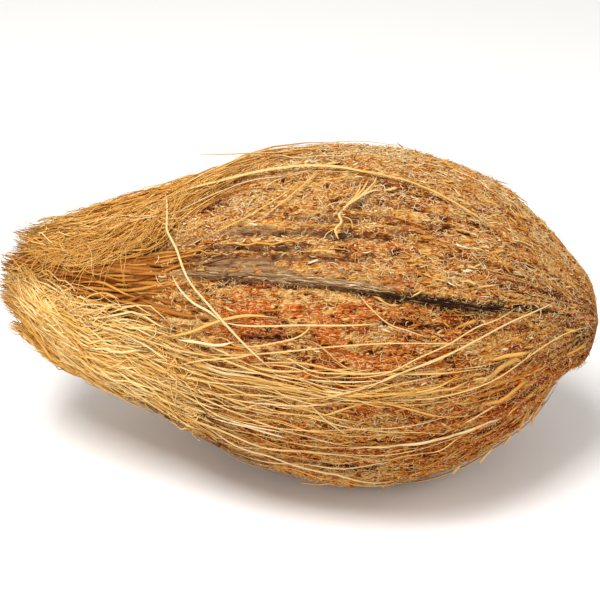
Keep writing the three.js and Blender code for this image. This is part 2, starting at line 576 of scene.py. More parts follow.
def husk_material():
    """Torn pith: tan, mottled at three sizes and streaked with the grain, redder where it is
    raw, grey where it has weathered, and dark with painted shade down in the pits, crevices and
    grooves."""
    material, shader, wire = new_material("torn_pith", roughness=0.85, specular=0.02)
    place = wire.add("ShaderNodeTexCoord", output=3)
    zones = wire.add("ShaderNodeAttribute", {"attribute_name": "husk_zones"})
    grey = wire.add("ShaderNodeSeparateColor", sockets={0: zones})
    red = grey.other_output(1)
    hollow = grey.other_output(2)
    with_grain = wire.add("ShaderNodeMapping", sockets={"Vector": place, "Scale": (0.16, 1.0, 1.0)})
    streaks = wire.noise(with_grain, 700.0, 4.0, 0.65)
    lumps = wire.noise(place, 330.0, 3.0, 0.6)
    crumbs = wire.noise(place, 1100.0, 4.0, 0.7)
    # The third zone is painted shade, mottled by the lumps and crumbs with the pith's own colour; the
    # ramp's dark end is full painted shade.
    deep = hollow + (lumps - 0.5) * 0.7 + (crumbs - 0.5) * 1.1
    stops = [
        (0.0, 226, 194, 134),
        (0.2, 216, 170, 98),
        (0.42, 202, 138, 60),
        (0.6, 162, 82, 22),
        (0.78, 116, 42, 6),
        (1.0, 46, 16, 4),
    ]
    colour = wire.add("ShaderNodeValToRGB", {"stops": stops}, {"Fac": deep})
    colour = (streaks.step(0.52, 0.62) * 0.45).blend(colour, tint(150, 92, 44))
    raw = (red * 1.3 + lumps.step(0.3, 0.7) * 0.4 - 0.35).step(0.0, 0.5)
    # The raw flesh is painted darker too where the painted shade is deeper.
    flesh = deep.step(0.3, 0.7).blend(tint(204, 94, 24), tint(134, 40, 6))
    colour = (raw * 0.85).blend(colour, flesh)
    threads = wire.noise(with_grain, 2600.0, 2.0, 0.6)
    colour = (threads.step(0.54, 0.59) * 0.7).blend(colour, tint(240, 206, 146))
    colour = (threads.step(0.42, 0.37) * 0.6).blend(colour, tint(104, 42, 8))
    speck = wire.noise(place, 420.0, 1.0).step(0.66, 0.7)
    colour = (speck * 0.8).blend(colour, tint(176, 84, 34))
    worn = streaks.step(0.4, 0.6).blend(tint(84, 58, 38), tint(168, 136, 100))
    colour = (grey * lumps.step(0.3, 0.5) * 0.85).blend(colour, worn)
    colour.feed(shader["Base Color"])
    (crumbs.step(0.3, 0.7) * 0.2 + 0.72).feed(shader["Roughness"])
    height = crumbs * 0.9 + streaks * 0.9 + lumps * 0.5 + threads * 0.5
    height.bump(1.1 * MM).feed(shader["Normal"])
    return material


def closed_grid_faces(rows, columns):
    """Quads between neighbouring rows of a grid that closes round, and a fan at each end, whose
    tips are the two points after the grid's own."""
    j = np.arange(columns)
    beside = (j + 1) % columns
    base = np.arange(rows - 1)[:, None] * columns
    quads = np.stack([base + j, base + columns + j, base + columns + beside, base + beside], -1)
    first = np.stack([np.full(columns, rows * columns), j, beside], -1)
    last = (rows - 1) * columns
    second = np.stack([np.full(columns, rows * columns + 1), last + beside, last + j], -1)
    return [quads.reshape(-1, 4), np.concatenate([first, second])]


def lobe_edges(lobe):
    """The directions of a lobe's two edges, in the crevices of the keels that bound it."""
    stands_at = [keel[0] + CREVICE_OFF for keel in KEELS]
    first = (stands_at[2] - 360.0, stands_at[0], stands_at[1])[lobe]
    return first, stands_at[lobe]


def lobe_grid(lobe):
    """One lobe's wedge: rows at equal distances along the outline, columns from one keel to the
    next, and one column on the axis, which closes it. In the tuft it is narrower and stops
    short, as a core. The zones of the material are how grey, how red and how dark it is; the
    darkness is mostly painted shade in the pits, crevices and grooves and on the lower side."""
    gaps = np.linalg.norm(np.diff(profile * (LENGTH, 1.0), axis=0), axis=1)
    travelled = np.concatenate([[0.0], np.cumsum(gaps)])
    rows = np.interp(np.linspace(0, travelled[-1], LOBE_ROWS + 2), travelled, profile[:, 0])[1:-1]
    first, last = lobe_edges(lobe)
    share, turned = np.meshgrid(rows, np.linspace(first, last, LOBE_COLUMNS), indexing="ij")
    angle = keel_angle(turned, share)
    tuft = 1 - smooth(0.08, 0.36, share)
    carving = husk_carving(share, angle)
    skin = coat(share, angle, depth=carving, keep=1 - CORE_NARROWING * tuft)
    wedge = np.concatenate([skin, (axis_at(rows) + SEAT)[:, None]], axis=1)
    wedge[..., 0] += CORE_SHORT * (1 - smooth(0.0, 0.3, rows))[:, None]
    ends = axis_at(np.array([0.0, 1.0])) + SEAT
    ends[0, 0] += CORE_SHORT
    points = np.concatenate([wedge.reshape(-1, 3), ends])
    across = np.append(np.linspace(*FACE_STRIP, LOBE_COLUMNS), AXIS_STRIP)
    uv = np.stack(np.broadcast_arrays(across, rows[:, None]), -1).reshape(-1, 2)
    uv = np.concatenate([uv, [[0.5, 0.0], [0.5, 1.0]]])
    # How dark: painted shade down in the crevices and grooves, a bell that darkens the nub low at the
    # apex, a little painted shade on the lower side and painted light on the upper, and painted shade
    # in the deeper pits of the torn face.
    shade = 0.5 * smooth(0.9 * MM, 2.2 * MM, crevices(share, angle))
    shade = shade + 0.28 * grooves(share, angle)
    shade = shade + 0.4 * bell(between(angle, -48.0), 34.0) * bell(share - 0.988, 0.01)
    mean = FACE_SHADE - 0.02 * np.sin(np.radians(angle))
    hollow = np.clip(mean + torn_face(share, angle) / SHADE_DEPTH + shade, 0.0, 1.0)
    zones = np.stack([weathering(share, angle), ruddiness(share, angle), hollow, share * 0 + 1], -1)
    zones = np.concatenate([zones, zones[:, -1:] * (0, 0, 1, 1)], axis=1).reshape(-1, 4)
    zones = np.concatenate([zones, [[0, 0, 0.4, 1], [0.3, 0.2, 0.6, 1]]])
    return points, closed_grid_faces(LOBE_ROWS, LOBE_COLUMNS + 1), uv, zones


pith = husk_material()
for lobe, lobe_name in enumerate(LOBE_NAMES):
    points, faces, uv, zones = lobe_grid(lobe)
    husk = new_piece("husk_" + lobe_name, points, faces, uv, pith)
    attribute = husk.data.attributes.new("husk_zones", "FLOAT_COLOR", "POINT")
    attribute.data.foreach_set("color", zones.astype(np.float32).ravel())
    # The two walls down to the axis are flat-shaded, and have a strip of the texture each.
    column = np.arange(len(faces[0])) % (LOBE_COLUMNS + 1)
    walls = np.flatnonzero(column >= LOBE_COLUMNS - 1)
    rounded = np.ones(len(husk.data.polygons), bool)
    rounded[walls] = False
    husk.data.polygons.foreach_set("use_smooth", rounded)
    corner_uv = uv[np.concatenate([group.ravel() for group in faces])]
    strip = (walls[:, None] * 4 + np.arange(4)).ravel()
    side = np.where(column[walls] == LOBE_COLUMNS, *WALL_STRIPS)[:, None]
    side = side + (0, 0, WALL_WIDTH, WALL_WIDTH)
    corner_uv[strip, 0] = side.ravel()
    husk.data.uv_layers["OFBake"].data.foreach_set("uv", corner_uv.astype(np.float32).ravel())
    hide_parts("coconut")

# ---------------------------------------------------------------------------------------------
# The laid coir: hundreds of coarse fibres bound flat in the pith, all running from the apex to
# the tuft, one group on each lobe. Peeling bared them in some places and took them in others.
LAID_COUNTS = (90, 150, 520)
LAID_STEPS = 12
FIBRE_TONES = [
    (0.0, 70, 26, 4),
    (0.12, 128, 52, 8),
    (0.26, 186, 88, 20),
    (0.42, 204, 128, 46),
    (0.6, 212, 158, 78),
    (0.78, 216, 178, 112),
    (0.9, 220, 192, 142),
    (1.0, 230, 210, 172),
]


def fibre_material(name, tones, roughness=0.75, tip=0.12, end_shade=0.45):
    """Coir: one tone for each fibre, read across the fibre's texture, and painted shade over the
    share `tip` at each end, where the fibre dips into the pith; the last argument says how much
    darker."""
    material, shader, wire = new_material(name, roughness, specular=0.05)
    place = wire.add("ShaderNodeUVMap", {"uv_map": "OFBake"})
    across = wire.add("ShaderNodeSeparateXYZ", sockets={0: place})
    along = across.other_output(1)
    colour = wire.add("ShaderNodeValToRGB", {"stops": tones}, {"Fac": across})
    # Both ends are painted darker: painted shade where the fibre dips into the pith.
    middle = along.step(0.0, tip) * along.step(1.0, 1.0 - tip)
    colour = (end_shade - middle * end_shade).blend(colour, tint(112, 50, 10))
    colour.feed(shader["Base Color"])
    return material


def swept_fibres(path, out, width, height, sides, tone):
    """Closed tubes along many paths at once. The section at each step is an ellipse with its
    flat side to the coat: path + width/2·cos·side + height/2·sin·up, where side is square to the
    path and to `out`. Each end closes on a point. The texture place is the fibre's tone, plus a
    hair's breadth round the section, and the share of the way along."""
    count, steps, _ = path.shape
    way = unit(np.gradient(path, axis=1))
    side = unit(np.cross(way, out))
    up = np.cross(side, way)
    turn = 2 * np.pi * np.arange(sides) / sides
    reach = side[:, :, None] * np.cos(turn)[:, None] * width[:, :, None, None] / 2
    reach = reach + up[:, :, None] * np.sin(turn)[:, None] * height[:, :, None, None] / 2
    rings = (path[:, :, None] + reach)[:, 1:-1].reshape(count, -1, 3)
    points = np.concatenate([rings, path[:, :1], path[:, -1:]], axis=1)
    across = 0.008 + 0.97 * tone[:, None, None] + 0.012 * np.arange(sides) / sides
    along = np.linspace(0.01, 0.99, steps)[None, 1:-1, None]
    uv = np.stack(np.broadcast_arrays(across, along), -1).reshape(count, -1, 2)
    tips = np.stack([np.stack([across[:, 0, 0], 0 * tone + end], -1) for end in (0.01, 0.99)], 1)
    uv = np.concatenate([uv, tips], axis=1).reshape(-1, 2)
    shift = points.shape[1] * np.arange(count)[:, None, None]
    one = closed_grid_faces(steps - 2, sides)
    faces = [(group + shift).reshape(-1, group.shape[1]) for group in one]
    return points.reshape(-1, 3), faces, uv


def spindle(t, ends=0.35):
    """A fibre's thickness at the share t of its length: `ends` of the whole at both ends, and
    full for most of the way."""
    return ends + (1 - ends) * np.minimum(1.0, 4.5 * np.minimum(t, 1 - t))


def swing(drift, share, least=0.0):
    """The degrees round the axis that a drift in metres makes on the outline, where its radius
    counts as `least` or more."""
    return np.degrees(drift / np.maximum(girth_at(share), least))


def over_coat(share, angle, lift):
    """Paths through these places on the coat, raised by `lift`, and the way outwards."""
    place, _, _, out = coat_frame(share, angle)
    return place + out * lift[..., None], out


def beside_coat(share, angle, ahead, aside, lift):
    """Paths from one place on the coat each: so far ahead with the grain, aside round the fruit
    and up from the coat at every point. Returns the way outwards too."""
    place, along, across, out = coat_frame(share, angle)
    path = place + along * ahead[..., None] + across * aside[..., None] + out * lift[..., None]
    return path, np.broadcast_to(out, path.shape)


def curled(heading, length):
    """How far ahead and aside a curl has come at each point: equal steps that add up to the
    length, each in its heading, which is in radians from the grain."""
    ahead = np.cumsum(np.cos(heading), axis=1) * length / heading.shape[1]
    aside = np.cumsum(np.sin(heading), axis=1) * length / heading.shape[1]
    return ahead, aside


class Chance:
    """Chance values for `count` fibres at once, from one seed. Each is a column with one value
    for each fibre, or as many as its points. `t` is the share of the way along a fibre."""

    def __init__(self, seed, count, steps):
        self.dice = np.random.default_rng(seed)
        self.count = count
        self.t = np.linspace(0.0, 1.0, steps)

    def even(self, low, high, points=1):
        """All values from low to high are equally likely."""
        return self.dice.uniform(low, high, (self.count, points))

    def near(self, middle, spread, points=1):
        """Most values are within `spread` of the middle, as in a bell."""
        return self.dice.normal(middle, spread, (self.count, points))

    def skewed(self, shape, scale):
        """Positive values about shape x scale, with a long tail, as a gamma spread has."""
        return self.dice.gamma(shape, scale, (self.count, 1))

    def either_way(self):
        """No turn or half a turn, in radians."""
        return np.pi * self.dice.integers(0, 2, (self.count, 1))

    def wander(self, reach, turns):
        """Sideways drift: a sum of three slow sines with chance phases, up to about `reach`
        metres, with `turns` waves in the first over the fibre's length."""
        drift = np.zeros((self.count, len(self.t)))
        for order in (1.0, 1.9, 3.3):
            phase = self.even(0, 2 * np.pi)
            size = self.near(0, reach / order)
            drift = drift + size * np.sin(2 * np.pi * turns * order * self.t + phase)
        return drift

    def scattered(self, lobe, shares, liking):
        """Places on a lobe: four times as many are thrown as are wanted, and those are kept that
        a second throw picks, with `liking` as their chance."""
        thrown = 4 * self.count
        share = self.dice.uniform(*shares, thrown)
        first, last = lobe_edges(lobe)
        angle = keel_angle(self.dice.uniform(first, last, thrown), share)
        chance = liking(share, angle) * (0.15 + girth_at(share) / (GIRTH / 2))
        kept = self.dice.choice(thrown, self.count, replace=False, p=chance / chance.sum())
        return share[kept][:, None], angle[kept][:, None]

    def tone(self, middle, spread, most=1.0):
        """A tone for each fibre, from 0 to `most`."""
        return np.clip(self.near(middle, spread), 0, most)[:, 0]

    def coat_tone(self, share, angle, base, spread):
        """A tone for each fibre that follows the coat: darker and redder where the pith is red,
        duller where it has weathered, paler above and darker below as painted light and shade, in
        patches, and with its own chance."""
        tone = base + self.near(0, spread)
        tone = tone - 0.34 * ruddiness(share, angle) - 0.12 * weathering(share, angle)
        # Paler on top and darker below: painted light and shade, plus patches of the coir's own tone.
        tone = tone + 0.1 * np.sin(np.radians(angle)) + 0.04 + 0.12 * grain(share, angle, 14, 30, 21)
        return np.clip(tone, 0.0, 1.0)[:, 0]


def bared(share, angle):
    """Where the laid coir shows: in chance patches, most along the low front, over the top and
    towards both ends, and least on the keels' crowns and in the raw pith."""
    patch = 0.1 + smooth(-0.1, 0.6, grain(share, angle, 10, 34, 22))
    low = bell(between(angle, 2.0), 14.0)
    low = low * window(0.26, 0.36, 0.76, 0.86, share)
    ends = 0.3 * smooth(0.82, 0.92, share) + 2.5 * (1 - smooth(0.25, 0.42, share))
    over = 1.2 * window(74.0, 92.0, 240.0, 270.0, angle % 360.0)
    shown = patch * (0.2 + low + ends + over) / (1 + (crevices(share, angle) / (0.6 * MM)) ** 2)
    return shown * (1.1 - weathering(share, angle)) * (1.1 - 0.8 * ruddiness(share, angle))


def laid_coir(lobe):
    """Fibres that follow the grain in the face of the pith, each from one share of the length to
    another, dipping in and out of it, with a slow sideways drift."""
    chance = Chance(100 + lobe, LAID_COUNTS[lobe], LAID_STEPS)
    start, around = chance.scattered(lobe, (0.34, 0.99), bared)
    length = chance.skewed(3.0, 6.5) * MM / LENGTH + 0.03
    share = np.clip(start + length * (0.5 - chance.t), 0.03, 0.997)
    drift = chance.wander(0.9 * MM, 0.9)
    drift = drift + chance.near(0, 3.2) * MM * (chance.t - 0.5)
    angle = around + swing(drift, share, least=9 * MM)
    thick = chance.skewed(4.0, 0.085) * MM * spindle(chance.t)
    broad = 1.4 + 0.5 * smooth(0.7, 0.88, start)
    lift = chance.even(-1.6, -0.7) * MM + chance.wander(0.3 * MM, 1.2)
    tone = chance.coat_tone(start, around, 0.56, 0.2)
    return swept_fibres(*over_coat(share, angle, lift), thick * broad, thick, 3, tone)


coir = fibre_material("coir", FIBRE_TONES)
for lobe, lobe_name in enumerate(LOBE_NAMES):
    new_piece("laid_coir_" + lobe_name, *laid_coir(lobe), coir)

# ---------------------------------------------------------------------------------------------
# The pith flakes: torn crumbs of the husk, and a few larger chips, that still hold by one end
# and lie along the grain with the other end raised.
FLAKES_PER_LOBE = 6000
CHIPS_PER_LOBE = 150
FLAKE_STEPS = 5


def torn_pith(share, angle):
    """Where the flakes are: in patches on the nut, but not in the smooth weathered bands, the
    crevices and the grooves."""
    patch = 0.25 + smooth(-0.3, 0.6, grain(share, angle, 16, 40, 31))
    clear = 1 / (1 + (crevices(share, angle) / (0.8 * MM)) ** 2)
    clear = clear * (1.1 - weathering(share, angle)) * (1 - smooth(0.1, 0.6, grooves(share, angle)))
    return patch * clear * smooth(0.27, 0.4, share)


def pith_flakes(seed, lobe, count, size, tone):
    """Short wide tapered chips of a chosen size: the path runs near the grain, and rises."""
    chance = Chance(seed, count, FLAKE_STEPS)
    share, angle = chance.scattered(lobe, (0.2, 0.99), torn_pith)
    stretch = 1 + 0.9 * smooth(0.62, 0.85, share) - 1.4 * smooth(0.94, 0.985, share)
    length = (chance.skewed(2.0, 0.8) + 0.6) * size * stretch * MM
    heading = chance.near(0, 0.26) + chance.either_way()
    ahead = length * chance.t * np.cos(heading) + chance.near(0, 0.12, FLAKE_STEPS) * size * MM
    aside = length * chance.t * np.sin(heading) + chance.near(0, 0.16, FLAKE_STEPS) * size * MM
    rise = np.abs(chance.near(0, 0.6)) * size * MM * chance.t
    lift = -0.15 * MM - husk_carving(share, angle) + rise
    path, out = beside_coat(share, angle, ahead, aside, lift)
    width = chance.even(0.2, 0.8) * chance.even(0.6, 1.4, FLAKE_STEPS) * size * MM
    height = chance.even(0.25, 0.55) * MM + 0 * chance.t
    return swept_fibres(path, out, width, height, 4, chance.coat_tone(share, angle, tone, 0.2))


# The flakes take that painted shade over a longer share of each end.
flaked_pith = fibre_material("flaked_pith", FIBRE_TONES, roughness=0.85, tip=0.3, end_shade=0.55)
for lobe, lobe_name in enumerate(LOBE_NAMES):
    flakes = pith_flakes(200 + lobe, lobe, FLAKES_PER_LOBE, size=1.0, tone=0.54)
    chips = pith_flakes(210 + lobe, lobe, CHIPS_PER_LOBE, size=1.7, tone=0.5)
    new_piece("pith_flakes_" + lobe_name, *flakes, flaked_pith)
    new_piece("torn_chips_" + lobe_name, *chips, flaked_pith)

# ---------------------------------------------------------------------------------------------
# The fibrils: short pale curls of torn coir that stand a little off the pith everywhere, where
# peeling broke the finer fibres.
FIBRILS_PER_LOBE = 6000
FIBRIL_STEPS = 5


def broken_fibres(share, angle):
    """Where the fibrils are: with the flakes, and across the crevices, which they bridge."""
    return torn_pith(share, angle) + 0.9 * smooth(0.0, MM, crevices(share, angle))


def fibrils(lobe):
    """Short arcs beside the coat: the heading turns along each, and one end lifts."""
    chance = Chance(300 + lobe, FIBRILS_PER_LOBE, FIBRIL_STEPS)
    t = chance.t
    share, angle = chance.scattered(lobe, (0.16, 0.993), broken_fibres)
    length = chance.skewed(2.5, 0.9) * MM + 1.1 * MM
    heading = chance.near(0, 0.9) + chance.near(0, 2.2) * t
    heading = heading + chance.near(0, 0.6) * np.sin(5 * t) + chance.either_way()
    root = -0.15 * MM - np.minimum(husk_carving(share, angle), 1.8 * MM)
    lift = root + np.abs(chance.near(0, 0.8)) * MM * t**1.5
    lift = lift + chance.even(0.2, 0.9) * MM * np.sin(np.pi * t)
    thick = chance.even(0.12, 0.24) * MM * spindle(t, 0.5)
    tone = chance.coat_tone(share, angle, 0.86, 0.14)
    path, out = beside_coat(share, angle, *curled(heading, length), lift)
    return swept_fibres(path, out, thick, thick, 3, tone)


for lobe, lobe_name in enumerate(LOBE_NAMES):
    new_piece("fibrils_" + lobe_name, *fibrils(lobe), coir)

# ---------------------------------------------------------------------------------------------
# The old skin: what is left of the fruit's grey outer skin, on the three keels and low in front.
# It has split along the grain into narrow flat strips, silvery on a crown, and nearly black
# beside the first keel towards the apex, where the dark crust strips over the crevice also
# paint the crevice's shade.
SKIN_STEPS = 16
SKIN_TONES = [
    (0.0, 34, 22, 16),
    (0.16, 92, 62, 38),
    (0.3, 138, 102, 68),
    (0.6, 176, 144, 106),
    (0.85, 208, 184, 148),
    (1.0, 232, 216, 188),
]
# Each set: its piece's name, its seed, how many strips, the line that they follow, how far each
# way they spread from it, the shares of the length that their middles have, and their tone.
SKIN_SETS = (
    ("keel_skin_first", 401, 84, KEELS[0][0], (-2.4, -0.6), (0.38, 0.64), 0.3),
    # The crust: dark skin strips laid across the first keel's crevice, nearly black, which also paint
    # the crevice's shade.
    ("keel_crust", 405, 26, KEELS[0][0], (-4.2, -2.4), (0.62, 0.84), -0.1),
    ("keel_skin_second", 402, 90, KEELS[1][0], (-2.5, 0.8), (0.4, 0.64), 0.3),
    ("keel_skin_third", 403, 80, KEELS[2][0], (-2.5, 0.8), (0.38, 0.62), 0.3),
    ("low_skin", 404, 170, LOW_SKIN_AT, (-8.0, 8.0), (0.16, 0.46), 0.44),
)


def old_skin(seed, count, line, reach, shares, base):
    """Flat strips along a keel's crown or another line, each between two shares of the length,
    with a jagged width and its own tone."""
    chance = Chance(seed, count, SKIN_STEPS)
    t = chance.t
    middle = chance.even(*shares)
    share = middle + chance.even(0.03, 0.12) * (0.5 - t)
    off = reach[0] + (reach[1] - reach[0]) * chance.even(0, 1) ** 1.3
    angle = keel_angle(line + off, share) + swing(chance.wander(0.25 * MM, 0.8), share)
    crown = bell(off + 1.2, 2.2)
    lift = chance.even(-1.2, -0.3) * MM + crown * 0.8 * MM
    lift = lift + chance.wander(0.25 * MM, 1.5)
    width = chance.even(0.2, 0.6) * MM * spindle(t, 0.2) * chance.even(0.5, 1.4, SKIN_STEPS)
    height = chance.even(0.16, 0.3) * MM * spindle(t, 0.4)
    tone = base - 0.2 * (1 - smooth(0.42, 0.54, middle)) + 0.26 * crown
    tone = np.clip(tone + chance.near(0, 0.17), 0, 1)[:, 0]
    return swept_fibres(*over_coat(share, angle, lift), width, height, 4, tone)


weathered = fibre_material("weathered_skin", SKIN_TONES, roughness=0.6)
for skin_name, *values in SKIN_SETS:
    new_piece(skin_name, *old_skin(*values), weathered)

# ---------------------------------------------------------------------------------------------
# The bark strips: flat bundles of coir, still bound together, that run with the grain. They are
# bared low in front, over the top, on the back, and where the grain draws together at the apex.
BARK_STEPS = 20
# Each group: how many, its directions, and the shares of the length that the strips' middles have.
BARK_GROUPS = (
    (36, (-64.0, -12.0), (0.5, 0.88)),
    (12, (-26.0, 34.0), (0.8, 0.93)),
    (16, (44.0, 150.0), (0.74, 0.92)),
    (40, (84.0, 140.0), (0.4, 0.8)),
    (110, (160.0, 290.0), (0.4, 0.94)),
)


def bark_strips(seed, count, angles, shares):
    """Wide flat strips half sunk in the coat, each with an uneven width and a slow drift."""
    chance = Chance(seed, count, BARK_STEPS)
    middle = chance.even(*shares)
    share = np.clip(middle + chance.even(0.06, 0.24) * (0.5 - chance.t), 0.2, 0.985)
    drift = chance.wander(0.8 * MM, 0.7)
    angle = keel_angle(chance.even(*angles), share) + swing(drift, share, least=12 * MM)
    lift = chance.even(-2.1, -1.1) * MM + chance.wander(0.35 * MM, 1.0)
    path, out = over_coat(share, angle, lift)
    path = path + chance.dice.normal(0, 0.05 * MM, path.shape)
    width = chance.even(0.5, 1.6) * MM * spindle(chance.t, 0.15)
    width = width * chance.even(0.45, 1.35, BARK_STEPS)
    height = chance.even(0.35, 0.7) * MM * spindle(chance.t, 0.3)
    tone = chance.coat_tone(share[:, :1], angle[:, :1], 0.66, 0.1)
    return swept_fibres(path, out, width, height, 6, tone)


def bark_material():
    """Bound coir: the fibre's tone, with fine lines along the strip and a torn grain."""
    material, shader, wire = new_material("bark", roughness=0.8, specular=0.04)
    place = wire.add("ShaderNodeUVMap", {"uv_map": "OFBake"})
    solid = wire.add("ShaderNodeTexCoord", output=3)
    lengthwise = wire.add("ShaderNodeMapping", sockets={"Vector": solid, "Scale": (0.12, 1.0, 1.0)})
    lines = wire.noise(lengthwise, 2400.0, detail=3.0)
    crumbs = wire.noise(solid, 900.0, detail=4.0)
    colour = wire.add("ShaderNodeValToRGB", {"stops": FIBRE_TONES}, {"Fac": place})
    colour = (lines.step(0.5, 0.38) * 0.65).blend(colour, tint(132, 70, 22))
    colour = (crumbs.step(0.55, 0.68) * 0.6).blend(colour, tint(234, 194, 130))
    colour.feed(shader["Base Color"])
    (lines + crumbs).bump(0.6 * MM).feed(shader["Normal"])
    return material


bark = bark_material()
for number, group in enumerate(BARK_GROUPS):
    new_piece(f"bark_strips_{number + 1}", *bark_strips(450 + number, *group), bark)

# ---------------------------------------------------------------------------------------------
# The loose strands: long coarse fibres that came away whole and lie over the coat. The front
# lobe has three bands of them, which cross at small angles and spring clear of it. There are a
# few over the top and many on the back.
LOOSE_STEPS = 24
# Each band: how many, its middle direction and spread, and the shares that the strands start at.
LOOSE_BANDS = (
    (36, 7.0, 5.0, (0.5, 0.86)),
    (12, -18.0, 7.0, (0.5, 0.85)),
    (12, -8.0, 8.0, (0.42, 0.9)),
    (9, 98.0, 8.0, (0.36, 0.62)),
    (100, 210.0, 52.0, (0.4, 0.97)),
)


def loose_strands(seed, count, middle, spread, starts):
    """Long fibres from the apex side to the tuft side, drifting round the coat, each lifted off
    it by a chance wave."""
    chance = Chance(seed, count, LOOSE_STEPS)
    t = chance.t
    share = np.clip(chance.even(*starts) - chance.even(0.12, 0.5) * t, 0.05, 0.985)
    angle = chance.near(middle, spread) + chance.near(0, 9) * (t - 0.5)
    angle = angle + swing(chance.wander(1.4 * MM, 0.7), share, least=14 * MM)
    lift = np.abs(chance.wander(0.8 * MM, 0.9))
    thick = chance.skewed(5.0, 0.088) * MM * spindle(t)
    thick = thick * (1 + chance.wander(0.16, 3.0))
    tone = chance.tone(0.76, 0.13, most=0.92)
    return swept_fibres(*over_coat(share, angle, lift), thick * 1.2, thick, 3, tone)


for number, band in enumerate(LOOSE_BANDS):
    new_piece(f"loose_strands_{number + 1}", *loose_strands(500 + number, *band), coir)

# ---------------------------------------------------------------------------------------------
# The marked strands: the few thick or flat fibres that stand out by themselves. Most hold at
# both ends. One springs clear beside the tuft, a frayed rootlet stands on the top lobe, and torn
# ends stick out along the underside.
MARKED_STEPS = 40
